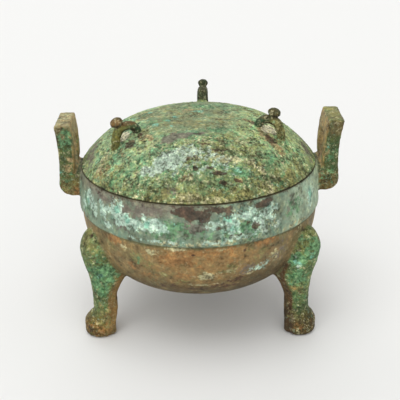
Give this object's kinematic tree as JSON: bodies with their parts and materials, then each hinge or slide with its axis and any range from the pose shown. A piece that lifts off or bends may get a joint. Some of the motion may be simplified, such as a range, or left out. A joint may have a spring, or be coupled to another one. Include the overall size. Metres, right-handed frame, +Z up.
{
  "type": "bronze tripod incense burner",
  "caption": "Lidded bronze tripod vessel: a round banded bowl on curved legs with upright pierced ears, under a loose domed lid with arched loops.",
  "frame": {"origin": "on the ground under the middle of the vessel's overall box; the bowl's own axis is 1.05 mm to -X and 4.15 mm to -Y of it", "axes": "+Z up, the two ears on the X axis, one leg towards +Y and two towards -Y"},
  "size_m": [0.2034, 0.1843, 0.1627],
  "materials": {
    "vessel_bronze": "cast bronze under old green, turquoise and earth-brown patina, dull, with a smooth grey-green band",
    "lid_bronze": "cast bronze under a rough granular green patina with pale and turquoise crusts"
  },
  "bodies": {
    "root": {"vessel": "vessel_bronze", "lid": "lid_bronze"}
  },
  "joints": []
}
